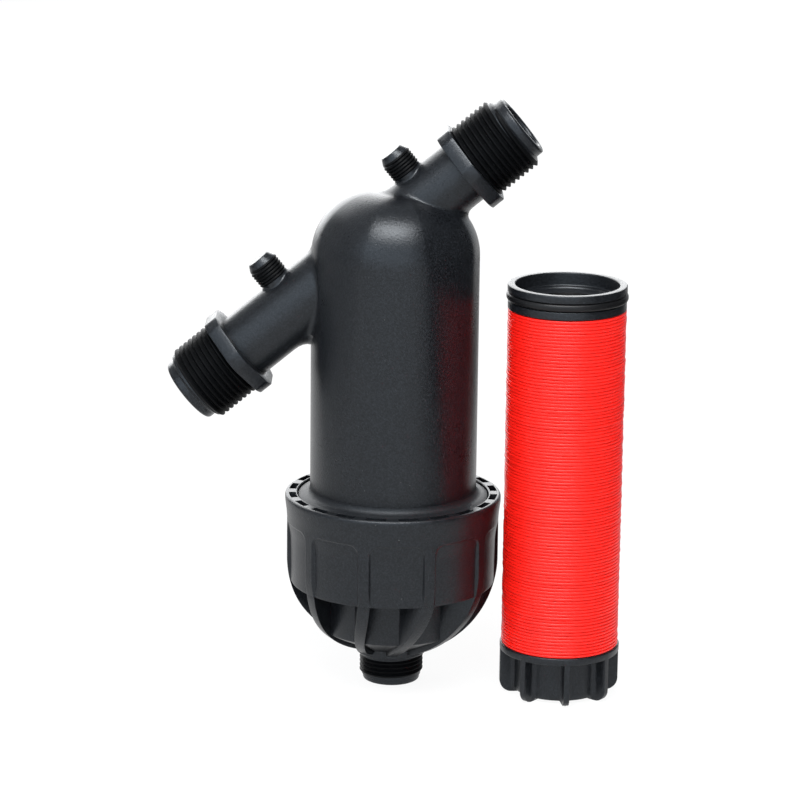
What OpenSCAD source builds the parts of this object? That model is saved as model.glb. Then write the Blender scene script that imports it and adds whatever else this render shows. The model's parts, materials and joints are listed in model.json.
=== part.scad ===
// Irrigation disc filter: a closed housing that stands on its drain nipple, with its
// disc cartridge taken out and standing beside it on its nut. Millimetres, +Z up.
// The origin is the centre of the drain nipple's end face.
// The pipe threads and screw threads are drawn at their outside diameters.

/* [Housing] */
// Outside radius of the body
body_r = 34.4; // [33.5:0.1:40]
// Wall of the body
body_wall = 4; // [3:0.1:4.4]
// Height of the body above the cap's rim
body_h = 126.4; // [122:0.1:160]
// Corner radius of the dome
dome_corner = 26; // [24:0.5:28]
// Radius of the fillet at the body's foot
foot_fillet = 1.2; // [0.5:0.1:2]
// Lean of the four slanted flats, in degrees
flat_lean = 1.5; // [0.5:0.1:1.6]
// Height of the flats' lower tips above the cap's rim
flat_foot = 6; // [2:1:20]
// How far the bottom collar stands out from the body
collar_step = 4.9; // [4:0.1:7]
// Height of the bottom collar
collar_h = 15; // [14:0.5:18]
// Wall of the socket ring inside the dome
socket_wall = 2.2; // [1.6:0.1:2.6]
// Height of the socket ring's mouth below the dome's top
socket_drop = 31; // [29:0.5:36]

/* [Ports] */
// Lean of the flow axis above level, in degrees
flow_lean = 39.8; // [38:0.1:42]
// Depth of the flow axis below the dome's top, on the body's axis
flow_drop = 14.1; // [14:0.1:17]
// Outside diameter of the port tubes
tube_od = 27.5; // [25:0.1:29]
// Bore of the port tubes
tube_bore = 20.5; // [16:0.1:21]
// Body axis to the middle of the inlet collar
inlet_reach = 83.1; // [76:0.1:110]
// Body axis to the middle of the outlet collar
outlet_reach = 38.8; // [38:0.1:70]
// Hexagon collar across its flats
hex_af = 36; // [34.5:0.1:42]
// Hexagon collar thickness
hex_t = 6; // [4:0.1:9]
// Outside diameter of the pipe thread
port_thread_d = 33.25; // [30:0.05:34]
// Length of the pipe thread
port_thread_len = 20.5; // [14:0.1:26]
// Length of the plain lip beyond the thread
lip_len = 3.6; // [2:0.1:6]

/* [Gauge nipples] */
// Outside diameter of the gauge thread
gauge_thread_d = 13.16; // [9.6:0.01:14]
// Tube axis to the end of the gauge thread
gauge_thread_top = 22.6; // [20:0.1:28]
// Length of the gauge thread
gauge_thread_len = 7.1; // [5:0.1:8]
// Diameter of the neck below the thread
gauge_neck_d = 14; // [13.4:0.1:16]
// Length of the tapered tip
gauge_tip_len = 2.4; // [1:0.1:4]
// Diameter of the tip's end
gauge_tip_d = 9.3; // [7:0.1:9.5]
// Inlet collar's middle to the inlet gauge nipple
inlet_gauge_back = 30.8; // [26:0.1:34]
// Outlet collar's middle to the outlet gauge nipple
outlet_gauge_back = 21.3; // [15:0.1:24]

/* [Cap] */
// Length of the drain nipple
nipple_len = 12.1; // [9:0.1:16]
// Outside diameter of the drain thread
drain_thread_d = 26.44; // [24:0.01:28]
// Diameter of the nipple's plain end
nipple_end_d = 23.6; // [22:0.1:23.8]
// Length of the nipple's plain end
nipple_end_len = 2; // [1:0.1:4]
// Bore of the drain
drain_bore_d = 19; // [12:0.1:19.4]
// Height of the cap above the nipple
cap_h = 68.9; // [64:0.1:80]
// Width of the rim around the housing's collar
rim_w = 5; // [4.4:0.1:7]
// Rounding of the rim's outer edge
rim_round = 2.2; // [1:0.1:3]
// Height of the plain band under the rim
band_h = 11.3; // [8:0.1:14]
// Step from the flared band in to the ribs
rib_step = 0.5; // [0.2:0.1:1]
// Corner radius of the bowl's outline
bowl_corner = 41; // [37:0.5:42]
// Height of the recessed panels
panel_h = 26.3; // [22:0.1:27]
// Depth of the panels at their top
panel_depth = 1.4; // [0.8:0.1:2]
// Corner radius of the panels' upper corners
panel_corner = 2.6; // [1:0.1:5]
// Number of ribs
rib_count = 10; // [6:1:12]
// Width of a rib
rib_w = 5; // [3:0.1:6.5]
// Width of a fin under the shelf
fin_w = 4.2; // [2.4:0.1:4.6]
// Turn of the first rib from the front, in degrees
rib_turn = -15.3; // [-18:0.1:18]
// Sweep of the fins under the shelf, in degrees per millimetre of radius
fin_sweep = 0.8; // [0:0.05:1.2]
// How far the hub stands out around the drain thread
hub_step = 1.5; // [1:0.1:2.5]
// Rise of the hub from the nipple's shoulder to the bowl's underside
hub_rise = 4; // [3:0.1:4.6]
// Height of the core's lower edge above the nipple
core_rise = 11.2; // [9:0.1:12]
// Clearance around the cartridge's nut in the bowl
core_clear = 2.2; // [1:0.1:3]
// Wall of the bowl
cap_wall = 3; // [2.4:0.1:3.6]
// Number of pockets in the rim
pocket_count = 20; // [12:2:24]
// Width of a pocket, in degrees
pocket_span = 11; // [6:0.5:12]
// Depth of a pocket
pocket_depth = 3; // [1:0.1:5]
// Wall between a pocket and the rim's edges
pocket_wall = 1.2; // [0.8:0.1:1.6]

/* [Cap seal] */
// Section of the seal ring
cap_seal_d = 2.7; // [2:0.1:4]
// Inset of the seal's middle from the collar's outside
cap_seal_inset = 2.4; // [2:0.1:3]

/* [Discs] */
// Outside radius of a disc
disc_r = 24.1; // [20:0.1:24.4]
// Bore radius of a disc
disc_bore_r = 17; // [16:0.1:19]
// Number of discs
disc_count = 104; // [60:1:110]
// Thickness of a disc
disc_t = 1.36; // [1:0.01:1.4]
// Depth of the groove between two discs
disc_groove = 0.35; // [0.1:0.05:0.5]
// Height of the straight edge of a disc
disc_edge = 0.63; // [0.3:0.01:0.8]

/* [Cartridge nut] */
// How far the nut's fins stand out past the discs
nut_step = 0.6; // [0.1:0.1:1]
// Height of the nut
nut_h = 21.4; // [17:0.1:24]
// Thickness of the nut's top flange
nut_flange_t = 3; // [2:0.1:5]
// Height of the nut's core above the fins' lower edges
nut_core_lift = 1.3; // [0.5:0.1:3]
// Number of fins
nut_fin_count = 8; // [4:2:12]
// Thickness of a fin
nut_fin_t = 2.4; // [1.6:0.1:4]
// Rounding of a fin's lower corner
nut_fin_round = 5; // [2:0.1:5]
// Turn of the first fin from the front, in degrees
nut_fin_turn = 5.5; // [-22:0.5:22]
// Wall around the nut's thread
nut_wall = 3.2; // [2:0.1:4]
// Thickness of the nut's floor
nut_floor = 3.2; // [2:0.1:5]

/* [Spine] */
// Height of the head's lower band
head_band_h = 3.5; // [2.5:0.1:6]
// Height of the seal groove
head_groove_h = 3.4; // [2.6:0.1:5]
// Height of the head's lip
head_lip_h = 3.2; // [2.4:0.1:5]
// How far the lip stands out past the discs
head_lip_step = 0.2; // [0:0.1:0.5]
// Depth of the seal groove from the band's outside
head_groove_depth = 1.7; // [1.2:0.1:2]
// Width of the lip at the mouth
mouth_lip = 3.1; // [2.9:0.1:4]
// Depth of the mouth's ledge
mouth_depth = 5.4; // [3:0.1:7]
// Wall of the spine's tube
spine_wall = 3; // [2:0.1:4]
// Step from the spine's tube in to its thread
spine_step = 1.35; // [0.8:0.05:2]
// Width of the slots in the spine
slot_w = 16; // [8:0.5:18]
// Height of the closed ring at each end of the slots
slot_margin = 6; // [3:0.5:12]
// Depth of the spine's thread in the nut
spine_thread_len = 14; // [12:0.5:15]

/* [Stand] */
// Gap between the cap's rim and the cartridge's nut
stand_gap = 1.6; // [0.8:0.1:40]
// Direction of the cartridge from the housing, in degrees
stand_turn = -11; // [-60:0.5:60]

/* [Hidden] */
$fn = 96;
// Free play of the screw threads, on the radius
thread_play = 0.4;
// Free play of seals and running faces
seal_play = 0.15;
// Overlap of cutters past the faces they cut
cut = 1;
// Direction of the photograph's front, the -Y side
front = -90;
plastic = "#34363a";
rubber = "#26272a";
disc_red = "#f23a30";

// Heights along the housing's axis
shoulder_z = nipple_len;
rim_z = nipple_len + cap_h;
top_z = rim_z + body_h;
collar_z = rim_z - collar_h;
socket_z = top_z - socket_drop;
flow_z = top_z - flow_drop;

// Radii of the housing
collar_r = body_r + collar_step;
cavity_r = body_r - body_wall;
dome_inner = dome_corner - body_wall;
port_end = hex_t / 2 + port_thread_len + lip_len;

// The cap's outline
cap_r = collar_r + thread_play + rim_w;
bowl_r = cap_r - rib_step;
panel_top = rim_z - band_h;
shelf_z = panel_top - panel_h;
panel_r = bowl_r - panel_depth;
nut_r = disc_r + nut_step;
core_inner_r = nut_r + core_clear;
core_r = core_inner_r + cap_wall;
core_z = shoulder_z + core_rise;
hub_r = drain_thread_d / 2 + hub_step;
seal_shelf_z = collar_z - cap_seal_d - 2 * seal_play;
cup_r = collar_r - 2 * cap_seal_inset + cap_seal_d / 2;
rib_pitch = 360 / rib_count;

// Heights of the cartridge, from the surface it stands on
stack_h = disc_count * disc_t;
stack_top = nut_h + stack_h;
groove_z = stack_top + head_band_h;
lip_z = groove_z + head_groove_h;
head_top = lip_z + head_lip_h;
ledge_z = head_top - mouth_depth;

// Radii of the cartridge
spine_r = disc_bore_r - thread_play - seal_play;
spine_bore_r = spine_r - spine_wall;
spine_thread_r = spine_r - spine_step;
nut_bore_r = spine_thread_r + thread_play;
nut_core_r = nut_bore_r + nut_wall;
lip_r = disc_r + head_lip_step;
mouth_r = lip_r - mouth_lip;
groove_r = disc_r - head_groove_depth;
head_seal_r = disc_r + nut_step + seal_play / 3;
socket_r = head_seal_r + seal_play / 3;

// Place of the cartridge beside the housing
stand_reach = cap_r + nut_r + stand_gap;

// A column's half outline with a rounded upper corner
module rounded_half(r, h, corner) {
    intersection() {
        square([r, h]);
        union() {
            square([r, h - corner]);
            square([r - corner, h]);
            translate([r - corner, h - corner])
                circle(corner);
        }
    }
}

// A ring between two radii
module ring(inner, outer, low, high) {
    rotate_extrude()
        translate([inner, low])
            square([outer - inner, high - low]);
}

// Turns children so that their +Z runs along the flow axis, towards the outlet
module along_flow() {
    translate([0, 0, flow_z])
        rotate([0, 90 - flow_lean, 0])
            children();
}

// One port beyond its tube: hexagon collar, thread and plain lip, from the collar's middle
module port() {
    translate([0, 0, -hex_t / 2])
        rotate(30)
            cylinder(h = hex_t, r = hex_af / 2 / cos(30), $fn = 6);
    cylinder(h = hex_t / 2 + port_thread_len, d = port_thread_d);
    cylinder(h = port_end, d = tube_od);
}

// A threaded gauge nipple that rises from a tube's axis
module gauge_nipple() {
    rotate([0, -90, 0]) {
        cylinder(h = gauge_thread_top - gauge_thread_len, d = gauge_neck_d);
        cylinder(h = gauge_thread_top, d = gauge_thread_d);
        translate([0, 0, gauge_thread_top])
            cylinder(h = gauge_tip_len, d1 = gauge_thread_d, d2 = gauge_tip_d);
    }
}

// The body's outside, with the collar at its foot and the four slanted flats
module body_outside() {
    difference() {
        translate([0, 0, collar_z])
            rotate_extrude()
                rounded_half(body_r, top_z - collar_z, dome_corner);
        for (side = [0:3])
            rotate(45 + 90 * side)
                translate([body_r, -body_r, rim_z + flat_foot])
                    rotate([0, -flat_lean, 0])
                        translate([0, 0, -body_h])
                            cube([body_r, 2 * body_r, 3 * body_h]);
    }
    ring(cavity_r, collar_r, collar_z, rim_z);
    rotate_extrude()
        difference() {
            translate([body_r - cut, rim_z])
                square([cut + foot_fillet, foot_fillet]);
            translate([body_r + foot_fillet, rim_z + foot_fillet])
                circle(foot_fillet);
        }
}

// The chamber inside the body
module chamber() {
    translate([0, 0, collar_z - cut])
        rotate_extrude()
            rounded_half(cavity_r, top_z - body_wall - collar_z + cut, dome_inner);
}

// The ring in the dome that takes the cartridge's head
module socket_ring() {
    intersection() {
        ring(socket_r, socket_r + socket_wall, socket_z, top_z);
        translate([0, 0, collar_z])
            rotate_extrude()
                rounded_half(body_r - body_wall / 2, top_z - body_wall / 2 - collar_z, dome_corner - body_wall / 2);
    }
}

module housing() {
    color(plastic) {
        difference() {
            union() {
                body_outside();
                along_flow() {
                    translate([0, 0, -inlet_reach])
                        cylinder(h = inlet_reach + outlet_reach, d = tube_od);
                    translate([0, 0, outlet_reach])
                        port();
                    translate([0, 0, -inlet_reach])
                        rotate([180, 0, 0])
                            port();
                    translate([0, 0, outlet_reach - outlet_gauge_back])
                        gauge_nipple();
                    translate([0, 0, inlet_gauge_back - inlet_reach])
                        gauge_nipple();
                }
            }
            chamber();
            along_flow() {
                cylinder(h = outlet_reach + port_end + cut, d = tube_bore);
                translate([0, 0, -inlet_reach - port_end - cut])
                    cylinder(h = inlet_reach + port_end + cut - cavity_r, d = tube_bore);
            }
        }
        socket_ring();
    }
}

// Outside of the cap before its panels are cut: nipple, bowl, flared band and rim
module cap_outside() {
    round_z = rim_z - rim_round;
    rotate_extrude() {
        translate([0, round_z])
            mirror([0, 1])
                rounded_half(bowl_r, round_z - shoulder_z, bowl_corner);
        polygon([
            [0, panel_top + cut],
            [bowl_r, panel_top + cut],
            [cap_r, round_z - rim_round],
            [cap_r, round_z],
            [0, round_z]
        ]);
        translate([0, round_z - rim_round])
            rounded_half(cap_r, 2 * rim_round, rim_round);
    }
    cylinder(h = nipple_len, d = nipple_end_d);
    translate([0, 0, nipple_end_len])
        cylinder(h = nipple_len - nipple_end_len + cut, d = drain_thread_d);
    translate([0, 0, shoulder_z])
        cylinder(h = hub_rise + cut, r = hub_r + cut);
}

// The inside of the cap: thread bore, seal seat, cup, core and sloped floor
module cap_inside() {
    floor_z = shoulder_z + 2 * cap_wall;
    core_floor_z = floor_z + core_inner_r / 2 - drain_bore_d / 4;
    rotate_extrude()
        polygon([
            [0, -cut],
            [drain_bore_d / 2, -cut],
            [drain_bore_d / 2, floor_z],
            [core_inner_r, core_floor_z],
            [core_inner_r, shelf_z + cap_wall],
            [cup_r, shelf_z + cap_wall],
            [cup_r, seal_shelf_z],
            [collar_r + thread_play, seal_shelf_z],
            [collar_r + thread_play, rim_z + cut],
            [0, rim_z + cut]
        ]);
}

// A quarter arc of points about a centre
function quarter(centre, r, from) = [for (turn = [0:22.5:90]) centre + r * [cos(from + turn), sin(from + turn)]];

// One recessed panel, with rounded upper corners, cut in from outside
module panel_cut() {
    half = bowl_r * sin(rib_pitch / 2) - rib_w / 2;
    low = shelf_z - cut;
    corner_z = panel_top - panel_corner;
    difference() {
        rotate([90, 0, 0])
            linear_extrude(2 * cap_r)
                polygon(concat(
                    [[-half, low], [half, low]],
                    quarter([half - panel_corner, corner_z], panel_corner, 0),
                    quarter([panel_corner - half, corner_z], panel_corner, 90)
                ));
        translate([0, 0, low - cut])
            cylinder(h = panel_h + 3 * cut, r1 = panel_r - rib_step, r2 = panel_r);
    }
}

// One fin's plan: radial at the ribs, swept back towards the nipple
function fin_turn(r) = front - fin_sweep * max(0, panel_r - r);
function fin_edge(r, side) = let (turn = fin_turn(r) + side * asin(fin_w / 2 / r)) r * [cos(turn), sin(turn)];
module fin_plan() {
    steps = 8;
    inner = drain_thread_d / 2 - cut;
    radii = [for (i = [0:steps]) inner + (panel_r - inner) * i / steps];
    tips = [for (side = [-1, 1]) fin_edge(bowl_r + cut, side)];
    polygon(concat(
        [for (r = radii) fin_edge(r, -1)],
        tips,
        [for (i = [steps:-1:0]) fin_edge(radii[i], 1)]
    ));
}

// The space under the shelf, between the fins and around the core
module under_shelf() {
    difference() {
        rotate_extrude()
            polygon([
                [hub_r, shoulder_z - cut],
                [2 * cap_r, shoulder_z - cut],
                [2 * cap_r, shelf_z],
                [core_r, shelf_z],
                [core_r, core_z],
                [hub_r, shoulder_z + hub_rise]
            ]);
        translate([0, 0, shoulder_z - 2 * cut])
            linear_extrude(cap_h)
                for (rib = [0:rib_count - 1])
                    rotate(rib * rib_pitch)
                        fin_plan();
    }
}

// The moulded pockets in the rim's top
module rim_pockets() {
    inner = collar_r + thread_play + pocket_wall / 2;
    outer = cap_r - pocket_wall;
    pitch = 360 / pocket_count;
    for (pocket = [0:pocket_count - 1])
        rotate(front + pitch * (pocket + 0.5) - pocket_span / 2 - rib_turn)
            rotate_extrude(angle = pocket_span)
                translate([inner, rim_z - pocket_depth])
                    square([outer - inner, pocket_depth + cut]);
}

module cap() {
    color(plastic)
        rotate(rib_turn)
            difference() {
                cap_outside();
                cap_inside();
                for (rib = [0:rib_count - 1])
                    rotate(rib_pitch * (rib + 0.5))
                        panel_cut();
                under_shelf();
                rim_pockets();
            }
}

module cap_seal() {
    color(rubber)
        rotate_extrude()
            translate([collar_r - cap_seal_inset, collar_z - seal_play - cap_seal_d / 2])
                circle(d = cap_seal_d);
}

// Places the cartridge's pieces where it stands
module at_stand() {
    rotate(stand_turn)
        translate([stand_reach, 0, 0])
            rotate(-stand_turn)
                children();
}

// Head with its mouth and seal groove, on a slotted tube with a thread at its foot
module cartridge_spine() {
    thread_foot = nut_h - spine_thread_len;
    slot_low = nut_h + thread_play + slot_margin;
    slot_high = stack_top - slot_margin;
    color(rubber)
        at_stand()
            difference() {
                rotate_extrude()
                    polygon([
                        [spine_bore_r, thread_foot],
                        [spine_thread_r, thread_foot],
                        [spine_thread_r, nut_h + thread_play],
                        [spine_r, nut_h + thread_play],
                        [spine_r, stack_top + seal_play],
                        [disc_r, stack_top + seal_play],
                        [disc_r, groove_z],
                        [groove_r, groove_z],
                        [groove_r, lip_z],
                        [lip_r, lip_z],
                        [lip_r, head_top],
                        [mouth_r, head_top],
                        [mouth_r, ledge_z],
                        [spine_bore_r, ledge_z - mouth_lip / 2]
                    ]);
                for (turn = [45, -45])
                    rotate(turn)
                        translate([-disc_r, -slot_w / 2, slot_low])
                            cube([2 * disc_r, slot_w, slot_high - slot_low]);
            }
}

module head_seal() {
    inner = groove_r + seal_play;
    color(rubber)
        at_stand()
            ring(inner, head_seal_r, groove_z + seal_play, lip_z - seal_play);
}

// The stacked discs, joined at the grooves between them
module filter_discs() {
    bevel = (disc_t - disc_edge) / 2;
    color(disc_red)
        at_stand()
            rotate_extrude()
                polygon(concat(
                    [[disc_bore_r, nut_h]],
                    [for (disc = [0:disc_count - 1])
                        let (low = nut_h + disc * disc_t)
                            each [
                                [disc_r - disc_groove, low],
                                [disc_r, low + bevel],
                                [disc_r, low + disc_t - bevel]
                            ]],
                    [[disc_r - disc_groove, stack_top], [disc_bore_r, stack_top]]
                ));
}

module cartridge_nut() {
    color(plastic)
        at_stand()
            difference() {
                union() {
                    ring(0, nut_r, nut_h - nut_flange_t, nut_h);
                    ring(0, nut_core_r, nut_core_lift, nut_h - nut_flange_t + cut);
                    intersection() {
                        translate([0, 0, nut_h])
                            mirror([0, 0, 1])
                                rotate_extrude()
                                    rounded_half(nut_r, nut_h, nut_fin_round);
                        for (fin = [0:nut_fin_count / 2 - 1])
                            rotate(front + nut_fin_turn + fin * 360 / nut_fin_count)
                                translate([-nut_r, -nut_fin_t / 2, 0])
                                    cube([2 * nut_r, nut_fin_t, nut_h]);
                    }
                }
                translate([0, 0, nut_core_lift + nut_floor])
                    cylinder(h = nut_h, r = nut_bore_r);
            }
}

housing();
cap();
cap_seal();
cartridge_spine();
head_seal();
filter_discs();
cartridge_nut();
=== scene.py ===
import json
import math
import random

import bpy
from mathutils import Matrix, Vector


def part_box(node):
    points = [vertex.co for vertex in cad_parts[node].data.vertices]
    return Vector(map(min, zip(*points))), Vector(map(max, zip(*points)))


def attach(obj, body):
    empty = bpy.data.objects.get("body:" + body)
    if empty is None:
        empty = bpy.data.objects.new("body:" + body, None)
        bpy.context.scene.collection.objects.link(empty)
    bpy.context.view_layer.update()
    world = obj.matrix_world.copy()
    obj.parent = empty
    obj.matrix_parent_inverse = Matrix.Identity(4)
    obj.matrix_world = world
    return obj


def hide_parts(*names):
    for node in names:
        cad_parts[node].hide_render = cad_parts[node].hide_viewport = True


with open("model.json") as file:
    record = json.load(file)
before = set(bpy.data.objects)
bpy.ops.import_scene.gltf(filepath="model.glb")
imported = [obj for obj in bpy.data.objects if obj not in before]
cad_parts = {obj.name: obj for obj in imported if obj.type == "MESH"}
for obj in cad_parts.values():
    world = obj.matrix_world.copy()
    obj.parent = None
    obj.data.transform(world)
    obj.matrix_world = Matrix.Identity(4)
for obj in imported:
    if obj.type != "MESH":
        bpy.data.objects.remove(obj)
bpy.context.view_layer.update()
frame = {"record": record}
MM = 0.001


# Places read from the frame

MOUNTS = {mount["name"]: mount for mount in frame["record"]["mounts"]}


def mount_place(name):
    return Vector(MOUNTS[name]["pos_m"])


def mount_axis(name):
    return Vector(MOUNTS[name]["axis"]).normalized()


def mount_size(name, key):
    return MOUNTS[name]["dims"][key] * MM


UP = Vector((0, 0, 1))
RIM_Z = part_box("cap")[1].z
COLLAR_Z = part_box("housing")[0].z
NUT_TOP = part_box("cartridge_nut")[1].z
STACK_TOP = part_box("filter_discs")[1].z
HEAD_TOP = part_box("cartridge_spine")[1].z
STAND = (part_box("filter_discs")[0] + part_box("filter_discs")[1]) / 2
STAND.z = 0
FLOW_AXIS = mount_axis("outlet_thread")
GAUGE_AXIS = mount_axis("outlet_gauge_thread")
OUTLET_MID = mount_place("outlet_thread")
FLOW_ORIGIN = OUTLET_MID - FLOW_AXIS * (OUTLET_MID.x / FLOW_AXIS.x)

# Sizes of the housing
BODY_R = 34.4 * MM
BODY_WALL = 4 * MM
BODY_ROWS = 12
BODY_COLUMNS = 432
DOME_STEPS = 28
DOME_TOP = RIM_Z + 126.4 * MM
DOME_CORNER = 26 * MM
FOOT_FILLET = 2.6 * MM
FOOT_FALL = 0.7 * MM
COLLAR_EDGE = 0.5 * MM
COLLAR_R = 39.3 * MM
FLAT_LEAN = math.radians(0.68)
FLAT_CROWN_R = 62 * MM
FLAT_FOOT = RIM_Z + 6 * MM
FLAT_EDGE = 0.2 * MM
SOCKET_R = 24.8 * MM
SOCKET_WALL = 2.2 * MM
SOCKET_Z = DOME_TOP - 31 * MM
SOCKET_TOP = DOME_TOP - 10.4 * MM
SOCKET_SLOPE = 3 * MM
SOCKET_EDGE = 0.4 * MM
CHAMBER_DROP = 1 * MM

# Sizes of the ports
TUBE_R = 13.75 * MM
BORE_R = 10.25 * MM
HEX_FLAT = 18 * MM
HEX_CORNER = 19.4 * MM
HEX_T = 6 * MM
HEX_EDGE = 0.45 * MM
HEX_COLUMNS = 168
LIP_LEN = 3.6 * MM
LIP_ROUND = 1.1 * MM
LIP_STEP = 0.3 * MM
PORT_DEPTH = 1.15 * MM
DRAIN_DEPTH = 0.95 * MM
GAUGE_DEPTH = 0.42 * MM
THREAD_RUN_IN = 2.4 * MM
THREAD_RUN_OUT = 0.9 * MM
RIDGE_START = 0.25
RIDGE_ROOT = 0.499
PORT_PITCH = 2.31 * MM
DRAIN_PITCH = 1.81 * MM
GAUGE_PITCH = 1.337 * MM
NECK_R = 6.25 * MM
GAUGE_RUN_OUT = 1.5 * MM
TIP_R = 5 * MM
TIP_LEN = 2.4 * MM
TIP_ROUND = 0.8 * MM
NIPPLE_FOOT = BORE_R + 1 * MM
NIPPLE_STEP = 0.3 * MM
NIPPLE_TAPER = 0.7 * MM
TAPER_STEP = 0.2 * MM
OUTLET_START = 4 * MM
INLET_START = 22 * MM

# Fillets of the tubes and nipples, with their widths in front, above and below
OUTLET_FILLET = (1.1 * MM, 5 * MM, 4.5 * MM)
INLET_FILLET = (1.3 * MM, 4.5 * MM, 9 * MM)
GAUGE_FILLET = (0.8 * MM, 1.3 * MM, 1.3 * MM)
FILLET_LINES_AT = 60 * MM
FILLET_BEND = 7
FILLET_SUNK = 0.6 * MM

# Sizes of the cap
SHOULDER_Z = 12.1 * MM
NIPPLE_END_LEN = 2 * MM
NIPPLE_END_R = 11.8 * MM
NIPPLE_END_ROUND = 0.9 * MM
BORE_EDGE = 0.4 * MM
CAP_R = 44.7 * MM
RIM_INNER_R = 39.7 * MM
RIM_ROUND = 1.3 * MM
RIM_EDGE = 0.3 * MM
RIM_FLARE = 0.2 * MM
RIM_FLARE_H = 4 * MM
BOWL_R = 43.9 * MM
BOWL_CORNER = 41 * MM
PANEL_TOP = RIM_Z - 11.3 * MM
SHELF_Z = PANEL_TOP - 26.3 * MM
SHELF_EDGE = 0.12 * MM
SHELF_FLAT = 0.5 * MM
SHELF_BACK = 3 * MM
PANEL_R = 42.8 * MM
PANEL_LEAN = 0.5 * MM
PANEL_CORNER = 4.2 * MM
PANEL_FADE = 7 * MM
PANEL_EDGE = 0.42 * MM
PANEL_SHALLOW = 0.45
PANEL_REACH = 2 * MM
RIB_COUNT = 10
RIB_W = 5 * MM
RIB_TURN = math.radians(-15.3)
RIB_EDGE_DEGREES = (
    2.4, 2.65, 2.9, 3.15, 3.4, 3.65, 3.9, 4.3, 4.8, 5.4, 6.1, 6.9, 7.8, 8.7,
)
HALF_SECTOR_COLUMNS = 11
SECTOR_GAP = 0.004 * MM
FIN_SWEEP = math.radians(0.8) / MM
FIN_TIP_W = 3.4 * MM
FIN_STEPS = 26
FIN_WIDEN = 1.35
FIN_SUNK = 1.2 * MM
FIN_LAP = 0.3 * MM
FIN_IN_CORE = 1 * MM
FIN_LEAST_H = 0.4 * MM
FIN_EDGE = 0.45 * MM
CORE_R = 29.9 * MM
CORE_INNER_R = 26.9 * MM
CORE_Z = SHOULDER_Z + 11.2 * MM
CORE_ROUND = 1.2 * MM
CORE_DROP = 0.5 * MM
HUB_R = 14.72 * MM
HUB_RISE = 4 * MM
HUB_TOP = SHOULDER_Z + HUB_RISE
HUB_EDGE = 0.5 * MM
HUB_FILLET = 0.8 * MM
CAP_WALL = 3 * MM
CUP_R = 35.85 * MM
SEAL_PLAY = 0.15 * MM
SEAL_SHELF_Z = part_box("cap_seal")[0].z - SEAL_PLAY
POCKET_COUNT = 20
POCKET_HALF = math.radians(5.5)
POCKET_DEPTH = 3 * MM
POCKET_IN = 0.6 * MM
POCKET_OUT = 1.5 * MM
POCKET_INNER_R = RIM_INNER_R + POCKET_IN
POCKET_OUTER_R = CAP_R - POCKET_OUT
POCKET_SLOPE = 0.15 * MM
POCKET_EDGE = math.radians(0.12)

# Sizes of the cartridge
DISC_COUNT = 104
DISC_R = 24.1 * MM
DISC_BORE_R = 17 * MM
DISC_GROOVE = 0.38 * MM
DISC_BEVEL = 0.16 * MM
DISC_EDGE = 0.63 * MM
DISC_GAP = 0.02 * MM
BEVEL_SHARE = 0.45
DISC_SLIP = 0.06 * MM
DISC_SPREAD = 0.0016
DISC_TILT = math.radians(0.03)
NUT_R = 24.7 * MM
NUT_CORE_R = 18.7 * MM
NUT_BORE_R = 15.5 * MM
NUT_FOOT_R = 12.5 * MM
NUT_FLANGE_T = 3 * MM
NUT_LIFT = 1.3 * MM
NUT_FLOOR = 3.2 * MM
NUT_FIN_COUNT = 8
NUT_FIN_HALF = 1.2 * MM
NUT_FIN_ROUND = 5 * MM
NUT_FIN_FILLET = 1.2 * MM
NUT_FILLET_REACH = 1.6 * MM
NUT_LIFT_SLOPE = 0.8 * MM
NUT_CORE_LEAD = 1 * MM
NUT_CORE_TAPER = 0.5
NUT_EDGE = 0.5 * MM
NUT_DEGREES = (
    0, 1.2, 2.2, 2.6, 2.8, 2.95, 3.1, 3.3, 3.5, 3.75, 4.1, 4.6, 5.2, 6, 7, 8.3, 10.5,
    13.5, 16.5, 19.5,
)
NUT_FIN_TURN = math.radians(5.5)
HEAD_BAND = 3.5 * MM
HEAD_GROOVE = 3.4 * MM
HEAD_EDGE = 0.5 * MM
HEAD_STEP = 0.3 * MM
HEAD_R = 24.1 * MM
LIP_R = 24.3 * MM
GROOVE_R = 22.4 * MM
MOUTH_R = 21.2 * MM
MOUTH_DEPTH = 5.4 * MM
MOUTH_ROUND = 0.6 * MM
MOUTH_LEDGE = 2.6 * MM
MOUTH_SLOPE = 0.4 * MM
SPINE_R = 16.45 * MM
SPINE_BORE_R = 13.45 * MM
SPINE_THREAD_R = 15.1 * MM
SPINE_STEP = 0.4 * MM
THROAT_STEP = 0.6 * MM
THROAT_TOP = 1.4 * MM
THROAT_FOOT = 2.2 * MM
# Reach of the painted shade inside the spine's bore
PAINTED_SHADE_BORE_R = SPINE_BORE_R + 0.9 * MM
SPINE_FOOT = NUT_TOP - 14 * MM
SLOT_W = 16 * MM
SLOT_MARGIN = 6 * MM
SLOT_ROUND = 1.5 * MM
SEAL_OUT = 24.75 * MM
SEAL_ROUND = 1.3 * MM
PARTING_SHARE = 0.97

FRONT = math.radians(-90)


# Modelling helpers

def start_clean():
    if bpy.context.mode != "OBJECT":
        bpy.ops.object.mode_set(mode="OBJECT")
    bpy.ops.object.select_all(action="DESELECT")


def pick(piece):
    start_clean()
    piece.select_set(True)
    bpy.context.view_layer.objects.active = piece


def edit(piece):
    pick(piece)
    bpy.ops.object.mode_set(mode="EDIT")
    bpy.ops.mesh.select_all(action="SELECT")


def leave_edit():
    bpy.ops.object.mode_set(mode="OBJECT")


def tidy_mesh(piece, gap=0.002 * MM):
    """Merges doubles and turns all faces outwards."""
    edit(piece)
    bpy.ops.mesh.remove_doubles(threshold=gap)
    bpy.ops.mesh.normals_make_consistent(inside=False)
    leave_edit()
    return piece


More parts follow.
